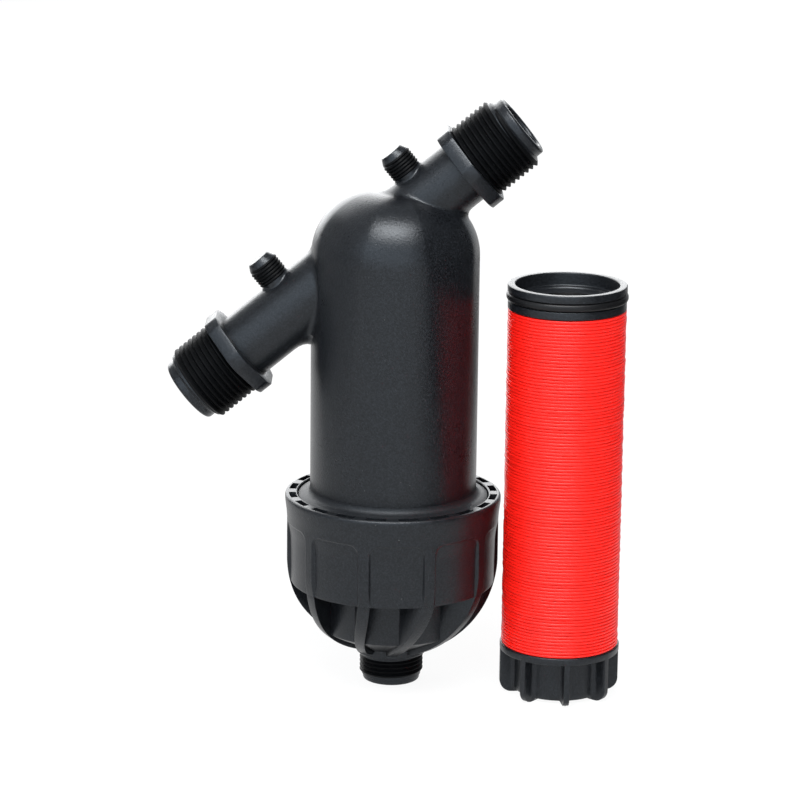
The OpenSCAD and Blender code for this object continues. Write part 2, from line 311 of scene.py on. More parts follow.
def chain(name, points):
    """An open line of edges through (radius, height) points, extruded one point at a time."""
    start_clean()
    bpy.ops.mesh.primitive_plane_add(size=MM)
    line = bpy.context.object
    line.name = name
    edit(line)
    bpy.ops.mesh.merge(type="CENTER")
    spots = [Vector((r, 0, z)) for r, z in points]
    bpy.ops.transform.translate(value=spots[0])
    for last, spot in zip(spots, spots[1:]):
        bpy.ops.mesh.extrude_region_move(TRANSFORM_OT_translate={"value": spot - last})
    leave_edit()
    return line


def turned(name, points, steps=128, closed=True):
    """A piece turned about Z from its half outline, as on a lathe."""
    outline = points + points[:1] if closed else points
    piece = chain(name, outline)
    edit(piece)
    bpy.ops.mesh.spin(steps=steps, angle=math.tau, center=(0, 0, 0), axis=(0, 0, 1))
    leave_edit()
    return tidy_mesh(piece)


def arc(centre, radius, first, last, steps=10):
    """Points along an arc, with its angles in degrees."""
    turns = [math.radians(first + (last - first) * i / steps) for i in range(steps + 1)]
    return [(centre[0] + radius * math.cos(t), centre[1] + radius * math.sin(t)) for t in turns]


def place(piece, matrix):
    """Moves a finished mesh to its place, with its object left at the origin."""
    pick(piece)
    piece.matrix_world = matrix
    bpy.ops.object.transform_apply(location=True, rotation=True, scale=True)
    return piece


def along(axis, origin):
    """A frame whose Z runs along an axis, with its Y kept level."""
    side = UP.cross(axis).normalized()
    front = axis.cross(side)
    turn = Matrix((front, side, axis)).transposed().to_4x4()
    return Matrix.Translation(origin) @ turn


def use(piece, kind, **settings):
    """Adds a modifier and applies it."""
    pick(piece)
    modifier = piece.modifiers.new(kind.lower(), kind)
    for key, value in settings.items():
        setattr(modifier, key, value)
    bpy.ops.object.modifier_apply(modifier=modifier.name)
    return piece


def soften(piece, width, degrees=35, segments=2):
    return use(
        piece, "BEVEL", width=width, segments=segments, limit_method="ANGLE",
        angle_limit=math.radians(degrees), use_clamp_overlap=True, harden_normals=False,
    )


def carve(piece, cutter, operation="DIFFERENCE"):
    use(piece, "BOOLEAN", object=cutter, operation=operation, solver="EXACT")
    bpy.data.objects.remove(cutter)
    return piece


def joined(name, pieces):
    start_clean()
    for piece in pieces:
        piece.select_set(True)
    bpy.context.view_layer.objects.active = pieces[0]
    bpy.ops.object.join()
    pieces[0].name = name
    pieces[0].data.name = name
    return pieces[0]


def copies(piece, count):
    """Copies of a piece turned evenly about Z, each with its own mesh, and the piece itself."""
    made = [piece]
    for i in range(1, count):
        copy = piece.copy()
        copy.data = piece.data.copy()
        bpy.context.scene.collection.objects.link(copy)
        made.append(place(copy, Matrix.Rotation(math.tau * i / count, 4, "Z")))
    return made


def smooth(piece, degrees=30):
    pick(piece)
    bpy.ops.object.shade_smooth_by_angle(angle=math.radians(degrees))
    return piece


def woven_grid(name, rows, closed_rows=False, closed_columns=False):
    """A mesh of quads through rows of points."""
    count = len(rows[0])
    points = [p for row in rows for p in row]
    faces = []
    for i in range(len(rows) if closed_rows else len(rows) - 1):
        low = i * count
        high = (i + 1) % len(rows) * count
        for j in range(count if closed_columns else count - 1):
            k = (j + 1) % count
            faces.append((low + j, low + k, high + k, high + j))
    mesh = bpy.data.meshes.new(name)
    mesh.from_pydata(points, [], faces)
    piece = bpy.data.objects.new(name, mesh)
    bpy.context.scene.collection.objects.link(piece)
    return piece


def helix_ridge(name, crest_r, depth, pitch, length, fade=0.16, crest=0.14, steps=72):
    """A right-hand screw thread's ridge around Z, from height 0 to its length."""
    root_r = crest_r - depth
    sunk_r = root_r - depth / 2
    turns = (length - pitch) / pitch
    half_root = RIDGE_ROOT * pitch
    half_crest = crest * pitch / 2
    outline = [
        (sunk_r, -half_root), (root_r, -half_root), (crest_r, -half_crest),
        (crest_r, half_crest), (root_r, half_root), (sunk_r, half_root),
    ]
    ridge = chain(name, outline + outline[:1])
    tidy_mesh(ridge)
    ring = len(ridge.data.vertices)
    count = int(steps * turns)
    use(
        ridge, "SCREW", axis="Z", angle=math.tau * turns, screw_offset=pitch * turns,
        iterations=1, steps=count, render_steps=count, use_smooth_shade=False,
    )
    rings = len(ridge.data.vertices) // ring
    for i, vertex in enumerate(ridge.data.vertices):
        step = min(i // ring, rings - 1 - i // ring) / steps
        share = RIDGE_START + (1 - RIDGE_START) * min(1.0, step / fade)
        radius = math.hypot(vertex.co.x, vertex.co.y)
        wanted = sunk_r + (radius - sunk_r) * share
        vertex.co.x *= wanted / radius
        vertex.co.y *= wanted / radius
    edit(ridge)
    bpy.ops.mesh.select_all(action="DESELECT")
    bpy.ops.mesh.select_non_manifold()
    bpy.ops.mesh.fill_holes(sides=0)
    bpy.ops.mesh.select_all(action="SELECT")
    bpy.ops.mesh.normals_make_consistent(inside=False)
    leave_edit()
    return place(ridge, Matrix.Translation((0, 0, pitch / 2)))


# Shader helpers

class Wire:
    """A shader socket that Python sums can be written on."""

    def __init__(self, finish, socket):
        self.finish = finish
        self.socket = socket

    def sum(self, operation, first, second):
        return self.finish.node("Math", {"operation": operation}, {0: first, 1: second})

    def __add__(self, other):
        return self.sum("ADD", self, other)

    def __radd__(self, other):
        return self.sum("ADD", other, self)

    def __sub__(self, other):
        return self.sum("SUBTRACT", self, other)

    def __rsub__(self, other):
        return self.sum("SUBTRACT", other, self)

    def __mul__(self, other):
        return self.sum("MULTIPLY", self, other)

    def __rmul__(self, other):
        return self.sum("MULTIPLY", other, self)


class Finish:
    """A material, or the world, whose nodes are added one at a time."""

    def __init__(self, name, owner=None):
        self.owner = owner or bpy.data.materials.new(name)
        self.owner.use_nodes = True
        self.tree = self.owner.node_tree
        self.tree.nodes.clear()

    def node(self, kind, settings=None, sockets=None, output=0):
        made = self.tree.nodes.new("ShaderNode" + kind)
        for key, value in (settings or {}).items():
            setattr(made, key, value)
        for key, value in (sockets or {}).items():
            if isinstance(value, Wire):
                self.tree.links.new(value.socket, made.inputs[key])
            else:
                made.inputs[key].default_value = value
        return Wire(self, made.outputs[output]) if made.outputs else made

    def coordinates(self):
        return self.node("TexCoord", output="Object")

    def noise(self, scale, detail=2.0, roughness=0.5, where=None):
        values = {"Scale": scale, "Detail": detail, "Roughness": roughness}
        values["Vector"] = where or self.coordinates()
        return self.node("TexNoise", None, values, "Fac")

    def mixed(self, share, first, second):
        """Two colours mixed by a share."""
        return self.node(
            "Mix", {"data_type": "RGBA"}, {"Factor": share, 6: first, 7: second}, 2
        )

    def bump(self, height, distance, strength=1.0):
        return self.node("Bump", None, {"Height": height, "Distance": distance, "Strength": strength})

    def finish(self, shader):
        self.node("OutputMaterial", None, {"Surface": shader})
        return self.owner


# Tones and patterns of the finishes, with the patterns' scales in cells to the metre
BODY_TONE = (0.0034, 0.0038, 0.0046, 1.0)
# Darker tone for the threads and the spine's bore: painted shade in the thread grooves and inside the
# bore
PAINTED_SHADE_TONE = (0.0020, 0.0022, 0.0026, 1.0)
RUBBER_DEEP = (0.003, 0.003, 0.0035, 1.0)
RUBBER_PALE = (0.006, 0.006, 0.0065, 1.0)
RED_DEEP = (0.58, 0.006, 0.003, 1.0)
RED_PALE = (0.72, 0.010, 0.005, 1.0)
GRAIN_SCALE = 1300
GRAIN_FROM = 0.4
GRAIN_GAIN = 3.2
GRAIN_PALE = 3
MOTTLE_SCALE = 45
MOTTLE_DEEP = 0.6
MOTTLE_PALE = 1.1
SPECK_SCALE = 1100
SPECK_FROM = 0.885
SPECK_SHARE = 0.25
SPECK_GREY = 0.16
THREAD_GRAIN_SCALE = 900
THREAD_MOTTLE_SCALE = 120
THREAD_DEEP = 0.7
RUBBER_GRAIN_SCALE = 700
RUBBER_MOTTLE_SCALE = 60
BAND_SCALE = 420
BAND_SQUEEZE = (0.02, 0.02, 1.0)


def grey(value):
    return (value, value, value, 1.0)


def shaded(tone, share):
    """A tone made darker or paler."""
    return tuple(c * share for c in tone[:3]) + (1.0,)


def moulded_black(name, tone, rough, grain):
    """Black moulded plastic: fine spark texture, faint mottling and a few pale dust specks."""
    finish = Finish(name)
    fine = finish.noise(GRAIN_SCALE, 3.0, 0.65)
    broad = finish.noise(MOTTLE_SCALE, 3.0)
    specks = finish.node("Math", {"operation": "GREATER_THAN"}, {
        0: finish.noise(SPECK_SCALE, 0.0), 1: SPECK_FROM,
    })
    mottled = finish.mixed(broad, shaded(tone, MOTTLE_DEEP), shaded(tone, MOTTLE_PALE))
    grained = finish.mixed((fine - GRAIN_FROM) * GRAIN_GAIN, mottled, shaded(tone, GRAIN_PALE))
    colour = finish.mixed(specks * SPECK_SHARE, grained, grey(SPECK_GREY))
    roughness = rough + (broad - 0.5) * 0.12 + (fine - 0.5) * 0.1
    shader = finish.node("BsdfPrincipled", None, {
        "Base Color": colour,
        "Roughness": roughness,
        "Specular IOR Level": 0.34,
        "Specular Tint": (0.9, 0.95, 1.0, 1.0),
        "Normal": finish.bump(fine, grain),
    })
    return finish.finish(shader)


def shade_painted_black(name, tone):
    """The plastic of the screw threads and the spine's bore, painted darker than the body as shade in
    the thread grooves and inside the bore, with hardly any shine.
    """
    finish = Finish(name)
    fine = finish.noise(THREAD_GRAIN_SCALE, 2.0)
    broad = finish.noise(THREAD_MOTTLE_SCALE, 2.0)
    colour = finish.mixed(broad, shaded(tone, THREAD_DEEP), tone)
    shader = finish.node("BsdfPrincipled", None, {
        "Base Color": colour,
        "Roughness": 0.5 + (broad - 0.5) * 0.1,
        "Specular IOR Level": 0.07,
        "Normal": finish.bump(fine, 0.02 * MM),
    })
    return finish.finish(shader)


def soft_rubber(name):
    """Smooth black rubber of the two seals."""
    finish = Finish(name)
    fine = finish.noise(RUBBER_GRAIN_SCALE, 3.0)
    broad = finish.noise(RUBBER_MOTTLE_SCALE, 2.0)
    colour = finish.mixed(broad, RUBBER_DEEP, RUBBER_PALE)
    shader = finish.node("BsdfPrincipled", None, {
        "Base Color": colour,
        "Roughness": 0.4 + (fine - 0.5) * 0.16,
        "Specular IOR Level": 0.25,
        "Normal": finish.bump(fine, 0.03 * MM),
    })
    return finish.finish(shader)


def red_disc(name):
    """Satin red plastic whose shade drifts a little from disc to disc."""
    finish = Finish(name)
    squeezed = finish.node("Mapping", None, {
        "Vector": finish.coordinates(), "Scale": BAND_SQUEEZE,
    })
    bands = finish.noise(BAND_SCALE, 2.0, 0.6, squeezed)
    fine = finish.noise(GRAIN_SCALE, 2.0)
    colour = finish.mixed(bands, RED_DEEP, RED_PALE)
    shader = finish.node("BsdfPrincipled", None, {
        "Base Color": colour,
        "Roughness": 0.38 + (fine - 0.5) * 0.16,
        "Specular IOR Level": 0.25,
        "Normal": finish.bump(fine, 0.02 * MM),
    })
    return finish.finish(shader)


HOUSING_BLACK = moulded_black("moulded_black", BODY_TONE, 0.3, 0.1 * MM)
CAP_BLACK = moulded_black("cap_black", BODY_TONE, 0.35, 0.1 * MM)
FOOT_BLACK = moulded_black("foot_black", BODY_TONE, 0.52, 0.12 * MM)
# This darker finish paints the shade of the thread grooves and of the spine's bore
SHADE_PAINTED_BLACK = shade_painted_black("shade_painted_black", PAINTED_SHADE_TONE)
RUBBER = soft_rubber("soft_rubber")
DISC_RED = red_disc("disc_red")


def dressed(piece, body, slot, *nodes):
    """Rides a finished piece on its body, in place of its CAD nodes."""
    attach(piece, body)
    if nodes:
        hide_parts(*nodes)
    return piece


def coated(piece, material):
    piece.data.materials.clear()
    piece.data.materials.append(material)
    return piece


# The housing

def body_outline(inset, foot):
    """Half outline of the body, from its foot up over the dome to the axis."""
    corner = DOME_CORNER - inset
    top = DOME_TOP - inset
    middle = (BODY_R - DOME_CORNER, DOME_TOP - DOME_CORNER)
    side = [(BODY_R - inset, foot + (middle[1] - foot) * i / BODY_ROWS) for i in range(BODY_ROWS)]
    return side + arc(middle, corner, 0, 90, DOME_STEPS) + [(middle[0] / 2, top), (0, top)]


def flat_ratio(turn, z):
    """Share of the round radius left in a direction, where a slightly crowned flat cuts in."""
    quarter = math.tau / 4
    off = turn % quarter - quarter / 2
    reach = BODY_R - max(0.0, z - FLAT_FOOT) * math.tan(FLAT_LEAN)
    behind = FLAT_CROWN_R - reach
    cut = math.sqrt(FLAT_CROWN_R ** 2 - (behind * math.sin(off)) ** 2) - behind * math.cos(off)
    return (BODY_R + cut - math.hypot(BODY_R - cut, FLAT_EDGE)) / 2 / BODY_R


def body_shell():
    """The body's wall: round at its foot, with four slanted flats that run on over the dome."""
    turns = [math.tau * i / BODY_COLUMNS for i in range(BODY_COLUMNS)]
    rows = []
    for radius, z in reversed(body_outline(BODY_WALL, COLLAR_Z)):
        rows.append([(radius * math.cos(t), radius * math.sin(t), z) for t in turns])
    for radius, z in body_outline(0, COLLAR_Z):
        reach = [radius * flat_ratio(t, z) for t in turns]
        rows.append([(r * math.cos(t), r * math.sin(t), z) for r, t in zip(reach, turns)])
    return tidy_mesh(woven_grid("body_shell", rows, closed_columns=True))


def foot_flange():
    """The bottom collar, with the flared foot of the body."""
    fillet = arc((BODY_R + FOOT_FILLET, RIM_Z + FOOT_FILLET), FOOT_FILLET, 270, 180, 8)
    edge_z = RIM_Z - FOOT_FALL - COLLAR_EDGE
    rim = arc((COLLAR_R - COLLAR_EDGE, edge_z), COLLAR_EDGE, 0, 75, 4)
    outline = [
        (BODY_R - BODY_WALL, COLLAR_Z), (COLLAR_R, COLLAR_Z), *rim, *fillet,
        (BODY_R - BODY_WALL / 2, RIM_Z + FOOT_FILLET), (BODY_R - BODY_WALL, RIM_Z),
    ]
    return turned("foot_flange", outline, steps=160)


def socket_ring():
    """The ring inside the dome that takes the cartridge's head."""
    outer = SOCKET_R + SOCKET_WALL
    outline = [
        (SOCKET_R, SOCKET_Z), (outer, SOCKET_Z),
        (outer, SOCKET_TOP - SOCKET_SLOPE), (SOCKET_R, SOCKET_TOP),
    ]
    return soften(turned("socket_ring", outline, steps=96), SOCKET_EDGE)


def port_tube(name, inner_end, thread_mid, thread_len):
    """One tube from inside the body to its lip, with the thread's root cut into it."""
    thread_low = thread_mid - thread_len / 2
    thread_high = thread_mid + thread_len / 2
    lip_end = thread_high + LIP_LEN
    root_r = mount_size("outlet_thread", "r_mm") - PORT_DEPTH
    outline = [
        (BORE_R, inner_end), (TUBE_R, inner_end), (TUBE_R, thread_low - HEX_T / 2),
        (root_r, thread_low - HEX_T / 2), (root_r, thread_high - THREAD_RUN_OUT),
        (TUBE_R + LIP_STEP, thread_high - LIP_STEP / 3), (TUBE_R, thread_high + LIP_STEP),
        *arc((TUBE_R - LIP_ROUND, lip_end - LIP_ROUND), LIP_ROUND, 0, 90, 6),
        *arc((BORE_R + LIP_ROUND, lip_end - LIP_ROUND), LIP_ROUND, 90, 180, 6),
    ]
    return turned(name, outline, steps=112)


def hex_collar(name):
    """A hexagon collar whose corners are turned down, around the tube, from height 0."""
    start_clean()
    bpy.ops.mesh.primitive_circle_add(vertices=HEX_COLUMNS, radius=HEX_FLAT, fill_type="NOTHING")
    collar = bpy.context.object
    collar.name = name
    sixth = math.tau / 6
    for i, vertex in enumerate(collar.data.vertices):
        turn = math.tau * i / HEX_COLUMNS
        off = (turn + sixth / 2) % sixth - sixth / 2
        radius = min(HEX_FLAT / math.cos(off), HEX_CORNER)
        vertex.co = (radius * math.cos(turn), radius * math.sin(turn), 0)
    inner = (BORE_R + TUBE_R) / 2 / HEX_FLAT
    edit(collar)
    bpy.ops.mesh.extrude_region_move(TRANSFORM_OT_translate={"value": (0, 0, HEX_T)})
    bpy.ops.mesh.extrude_region_move(TRANSFORM_OT_translate={"value": (0, 0, 0)})
    bpy.ops.transform.resize(value=(inner, inner, 1), center_override=(0, 0, HEX_T))
    bpy.ops.mesh.extrude_region_move(TRANSFORM_OT_translate={"value": (0, 0, -HEX_T)})
    bpy.ops.mesh.select_all(action="DESELECT")
    bpy.ops.mesh.select_non_manifold()
    bpy.ops.mesh.bridge_edge_loops()
    leave_edit()
    tidy_mesh(collar)
    return soften(collar, HEX_EDGE, 50)


def gauge_nipple(name, top_from_axis):
    """Neck, thread root and tapered tip of a gauge nipple, from the tube's axis along Z."""
    crest_r = mount_size("outlet_gauge_thread", "r_mm")
    low = top_from_axis - mount_size("outlet_gauge_thread", "length_mm")
    root_r = crest_r - GAUGE_DEPTH
    taper_r = crest_r - NIPPLE_TAPER
    tip = top_from_axis + TIP_LEN
    outline = [
        (0, NIPPLE_FOOT), (NECK_R, NIPPLE_FOOT), (NECK_R, low - NIPPLE_STEP),
        (NECK_R - NIPPLE_STEP, low), (root_r, low + NIPPLE_STEP / 3),
        (root_r, top_from_axis - NIPPLE_STEP - TAPER_STEP),
        (taper_r + TAPER_STEP, top_from_axis - NIPPLE_STEP), (taper_r, top_from_axis + TAPER_STEP),
        *arc((TIP_R - TIP_ROUND, tip - TIP_ROUND), TIP_ROUND, 25, 90, 5), (0, tip),
    ]
    return turned(name, outline, steps=72, closed=False)


def junction(name, host, frame_at, radius, reach, widths, steps=96):
    """A concave fillet where a round tube of that radius, along Z, meets its host piece.
    Its lines start at the reach, outside, and widths are its sizes in front, above and below."""
    rows = []
    front, above, below = widths
    to_world = frame_at.to_3x3()
    inward = -1 if reach > 0 else 1
    for i in range(steps):
        turn = math.tau * i / steps
        share = math.cos(turn) ** 2
        width = front + ((above if math.cos(turn) > 0 else below) - front) * share
        radial = Vector((math.cos(turn), math.sin(turn), 0))
        start = frame_at @ (radial * radius + UP * reach)
        hit, spot, _, _ = host.ray_cast(start, to_world @ (UP * inward))
        if not hit:
            raise ValueError("no junction on " + name)
        out = to_world @ radial
        away = to_world @ (UP * -inward)
        near = spot + away * width
        _, far, normal, _ = host.closest_point_on_mesh(spot + out * width)
        curve = [
            near * (1 - t) ** 2 + spot * (2 * t * (1 - t)) + far * t ** 2
            for t in (k / FILLET_BEND for k in range(FILLET_BEND + 1))
        ]
        under = normal * FILLET_SUNK
        inside = out * FILLET_SUNK
        rows.append(curve + [far - under, spot - inside - under, near - inside])
    return tidy_mesh(woven_grid(name, rows, closed_rows=True, closed_columns=True))


def housing():
    """Body, tubes, collars, threads and gauge nipples of the one black moulding."""
    flow = along(FLOW_AXIS, FLOW_ORIGIN)
    back = flow.inverted()
    outlet_mid = (back @ OUTLET_MID).z
    inlet_mid = -(back @ mount_place("inlet_thread")).z
    thread_len = mount_size("outlet_thread", "length_mm")
    thread_r = mount_size("outlet_thread", "r_mm")
    turn_back = Matrix.Rotation(math.pi, 4, "X")
    chamber_foot = COLLAR_Z - CHAMBER_DROP
    chamber_line = [(0, chamber_foot)] + body_outline(BODY_WALL, chamber_foot)

    shell = body_shell()
    plain = []
    threads = []
    sides = (
        ("outlet", outlet_mid, flow, OUTLET_START, OUTLET_FILLET),
        ("inlet", inlet_mid, flow @ turn_back, INLET_START, INLET_FILLET),
    )
    for side, mid, at, inner_end, widths in sides:
        tube = port_tube(side + "_tube", inner_end, mid, thread_len)
        collar_at = mid - thread_len / 2 - HEX_T
        chamber = turned("chamber", chamber_line, 96, False)
        carve(place(tube, at), chamber)
        collar = place(hex_collar(side + "_collar"), at @ Matrix.Translation((0, 0, collar_at)))
        ridge_len = thread_len + THREAD_RUN_IN
        ridge = helix_ridge(side + "_ridge", thread_r, PORT_DEPTH, PORT_PITCH, ridge_len)
        threads.append(place(ridge, at @ Matrix.Translation((0, 0, mid + thread_len / 2 - ridge_len))))
        plain += [tube, collar]
        plain.append(junction(side + "_fillet", shell, at, TUBE_R, FILLET_LINES_AT, widths))

    gauge_r = mount_size("outlet_gauge_thread", "r_mm")
    gauge_len = mount_size("outlet_gauge_thread", "length_mm")
    for side, tube in (("outlet", plain[0]), ("inlet", plain[3])):
        spot = mount_place(side + "_gauge_thread")
        height = (spot - FLOW_ORIGIN).dot(GAUGE_AXIS)
        at = along(GAUGE_AXIS, spot - GAUGE_AXIS * height)
        top = height + gauge_len / 2
        plain.append(place(gauge_nipple(side + "_gauge", top), at))
        plain.append(junction(side + "_gauge_fillet", tube, at, NECK_R, top, GAUGE_FILLET, 64))
        ridge_len = gauge_len + GAUGE_RUN_OUT
        name = side + "_gauge_ridge"
        ridge = helix_ridge(name, gauge_r, GAUGE_DEPTH, GAUGE_PITCH, ridge_len, steps=56)
        threads.append(place(ridge, at @ Matrix.Translation((0, 0, top - ridge_len))))

    for _, mid, at, inner_end, _ in sides:
        bore = turned("bore", [(0, inner_end), (BORE_R, inner_end), (BORE_R, mid), (0, mid)], 96, False)
        carve(shell, place(bore, at))
    plain = [coated(smooth(piece), HOUSING_BLACK) for piece in plain + [socket_ring()]]
    plain.append(coated(smooth(foot_flange()), FOOT_BLACK))
    coated(smooth(shell), HOUSING_BLACK)
    # The threads take the darker finish: painted shade in their grooves
    threads = [coated(smooth(piece), SHADE_PAINTED_BLACK) for piece in threads]
    piece = joined("housing_moulding", [shell] + plain + threads)
    return dressed(piece, "housing", "black_plastic", "housing")


# The cap

def bowl_radius(z):
    """Radius of the bowl's outside at a height."""
    middle = SHOULDER_Z + BOWL_CORNER
    if z >= middle:
        return BOWL_R
    return BOWL_R - BOWL_CORNER + math.sqrt(BOWL_CORNER ** 2 - (middle - z) ** 2)


def cap_outline():
    """The cap's closed section: rim, wall, shelf, core, nipple and inside."""
    low = [SHELF_Z + 0.4 * MM, SHELF_Z + 1.2 * MM]
    torus = [SHELF_Z + 1.2 * MM + 0.7 * MM * i for i in range(1, 5)]
    torus += [SHELF_Z + 4 * MM + 1.5 * MM * i for i in range(1, 6)]
    straight = [SHELF_Z + (13.4 + 1.9 * i) * MM for i in range(5)]
    near_top = [
        PANEL_TOP + d * MM
        for d in (-4.4, -3.7, -3, -2.4, -1.9, -1.4, -1, -0.6, -0.3, 0, 0.3, 0.6, 1.2)
    ]
    wall = [(bowl_radius(z), z) for z in low + torus + straight + near_top]
    round_z = RIM_Z - RIM_ROUND
    wall += [(BOWL_R + RIM_FLARE, PANEL_TOP + RIM_FLARE_H), (CAP_R, round_z - RIM_ROUND)]
    wall += arc((CAP_R - RIM_ROUND, round_z), RIM_ROUND, 0, 90, 7)
    crown_radii = (
        POCKET_OUTER_R, POCKET_OUTER_R - POCKET_SLOPE, POCKET_INNER_R + POCKET_SLOPE, POCKET_INNER_R,
    )
    crown = [(radius, RIM_Z) for radius in crown_radii]
    floor_z = SHOULDER_Z + 2 * CAP_WALL
    bore_r = mount_size("drain_bore", "r_mm")
    core_floor = floor_z + (CORE_INNER_R - bore_r) / 2
    inside = [
        (RIM_INNER_R + RIM_EDGE, RIM_Z), (RIM_INNER_R, RIM_Z - RIM_EDGE), (RIM_INNER_R, SEAL_SHELF_Z),
        (CUP_R, SEAL_SHELF_Z), (CUP_R, SHELF_Z + CAP_WALL), (CORE_INNER_R, SHELF_Z + CAP_WALL),
        (CORE_INNER_R, core_floor), (bore_r, floor_z), (bore_r, BORE_EDGE), (bore_r + BORE_EDGE, 0),
    ]
    thread_r = mount_size("drain_thread", "r_mm") - DRAIN_DEPTH
    nipple = [
        *arc((NIPPLE_END_R - NIPPLE_END_ROUND, NIPPLE_END_ROUND), NIPPLE_END_ROUND, -90, 0, 5),
        (NIPPLE_END_R, NIPPLE_END_LEN), (thread_r, NIPPLE_END_LEN + NIPPLE_STEP),
        (thread_r, SHOULDER_Z), (HUB_R - HUB_EDGE, SHOULDER_Z), (HUB_R, SHOULDER_Z + HUB_EDGE),
        (HUB_R, HUB_TOP - HUB_FILLET * 3 / 4), (HUB_R + HUB_FILLET, HUB_TOP + HUB_FILLET / 4),
    ]
    core = [
        (CORE_R - CORE_ROUND, CORE_Z - CORE_DROP), (CORE_R - CORE_ROUND / 4, CORE_Z + CORE_ROUND / 6),
        (CORE_R, CORE_Z + CORE_ROUND), (CORE_R, SHELF_Z - CORE_ROUND * 5 / 4),
        *arc((CORE_R + CORE_ROUND, SHELF_Z - CORE_ROUND), CORE_ROUND, 180, 90, 4),
    ]
    shelf_r = PANEL_R - PANEL_LEAN
    shelf = [
        (shelf_r - SHELF_BACK, SHELF_Z), (shelf_r - SHELF_FLAT, SHELF_Z),
        (shelf_r - SHELF_EDGE, SHELF_Z + SHELF_EDGE),
    ]
    return wall, crown, inside, nipple, core, shelf


def eased(share):
    """A share held between 0 and 1, with soft ends."""
    held = max(0.0, min(1.0, share))
    return held * held * (3 - 2 * held)


def panel_share(across, z):
    """How far a point of the wall is let in, from 0 on a rib to 1 on a panel."""
    side = across - RIB_W / 2
    top = PANEL_TOP - z
    if side < PANEL_CORNER and top < PANEL_CORNER:
        inside = PANEL_CORNER - math.hypot(PANEL_CORNER - side, PANEL_CORNER - top)
    else:
        inside = min(side, top)
    depth = PANEL_SHALLOW + (1 - PANEL_SHALLOW) * eased(top / PANEL_FADE)
    return eased(0.5 + inside / (2 * PANEL_EDGE)) * depth


def sector_turns(pocket_turns):
    """Angles of one sector's columns, close together at the rib's and the pockets' edges."""
    half = math.pi / RIB_COUNT
    even = [half * (i / HALF_SECTOR_COLUMNS - 1) for i in range(2 * HALF_SECTOR_COLUMNS + 1)]
    at_rib = [math.radians(d) for d in RIB_EDGE_DEGREES]
    at_pockets = []
    for turn in pocket_turns:
        for edge in (turn - POCKET_HALF, turn + POCKET_HALF):
            at_pockets += [edge - POCKET_EDGE, edge + POCKET_EDGE]
    return sorted(even + at_rib + [-t for t in at_rib] + at_pockets)


def cap_sector():
    """A tenth of the cap, with one rib in its middle and half a panel on each side."""
    wall, crown, inside, nipple, core, shelf = cap_outline()
    outline = wall + crown + inside + nipple + core + shelf
    pitch = math.tau / POCKET_COUNT
    first_pocket = (pitch / 2 - RIB_TURN) % pitch
    pocket_turns = [first_pocket, first_pocket - pitch]
    rows = []
    for index, (radius, z) in enumerate(outline):
        row = []
        for turn in sector_turns(pocket_turns):
            r = radius
            height = z
            if index < len(wall) and z < PANEL_TOP + PANEL_REACH:
                floor_r = PANEL_R - PANEL_LEAN * (PANEL_TOP - z) / (PANEL_TOP - SHELF_Z)
                r += (floor_r - r) * panel_share(abs(turn) * radius, z)
            in_crown = len(wall) <= index < len(wall) + len(crown)
            pocketed = any(abs(turn - middle) < POCKET_HALF for middle in pocket_turns)
            if in_crown and pocketed and POCKET_INNER_R < radius < POCKET_OUTER_R:
                height -= POCKET_DEPTH
            row.append((r * math.cos(turn + FRONT), r * math.sin(turn + FRONT), height))
        rows.append(row)
    return woven_grid("cap_sector", rows, closed_rows=True)


def cap_fin():
    """One fin under the shelf: it carries a rib's face on and sweeps back to the hub."""
    middle = SHOULDER_Z + BOWL_CORNER
    flat_r = BOWL_R - BOWL_CORNER
    inner = math.asin((HUB_R - FIN_SUNK - flat_r) / BOWL_CORNER)
    outer = math.acos((middle - SHELF_Z - FIN_LAP) / BOWL_CORNER)
    rows = []
    for i in range(FIN_STEPS + 1):
        share = i / FIN_STEPS
        angle = inner + (outer - inner) * share
        r = flat_r + BOWL_CORNER * math.sin(angle)
        z = middle - BOWL_CORNER * math.cos(angle)
        width = FIN_TIP_W + (RIB_W - FIN_TIP_W) * min(1.0, share * FIN_WIDEN)
        turn = FRONT - FIN_SWEEP * max(0.0, PANEL_R - r)
        half = math.asin(width / 2 / r)
        cone = HUB_TOP + (r - HUB_R) * (CORE_Z - HUB_TOP) / (CORE_R - HUB_R)
        top = SHELF_Z + FIN_LAP if r > CORE_R - FIN_IN_CORE else cone + FIN_SUNK
        top = max(top, z + FIN_LEAST_H)
        corners = ((turn - half, z), (turn + half, z), (turn + half, top), (turn - half, top))
        rows.append([(r * math.cos(t), r * math.sin(t), height) for t, height in corners])
    fin = woven_grid("cap_fin", rows, closed_columns=True)
    edit(fin)
    bpy.ops.mesh.select_all(action="DESELECT")
    bpy.ops.mesh.select_non_manifold()
    bpy.ops.mesh.fill_holes(sides=0)
    leave_edit()
    tidy_mesh(fin)
    return soften(fin, FIN_EDGE, 50, 3)


def cap():
    """Wall with its ribs and panels, fins and drain thread of the cap."""
    sectors = joined("cap_wall", copies(cap_sector(), RIB_COUNT))
    tidy_mesh(sectors, SECTOR_GAP)
    fins = joined("cap_fins", copies(cap_fin(), RIB_COUNT))
    thread_len = mount_size("drain_thread", "length_mm")
    thread_r = mount_size("drain_thread", "r_mm")
    ridge = helix_ridge("drain_ridge", thread_r, DRAIN_DEPTH, DRAIN_PITCH, thread_len)
    place(ridge, Matrix.Translation((0, 0, NIPPLE_END_LEN)))
    coated(smooth(sectors, 32), CAP_BLACK)
    coated(smooth(fins, 32), CAP_BLACK)
    # The drain thread takes the darker finish: painted shade in its grooves
    coated(smooth(ridge), SHADE_PAINTED_BLACK)
    piece = joined("cap_moulding", [sectors, fins, ridge])
    place(piece, Matrix.Rotation(RIB_TURN, 4, "Z"))
    return dressed(piece, "cap", "black_plastic", "cap")


# The cartridge

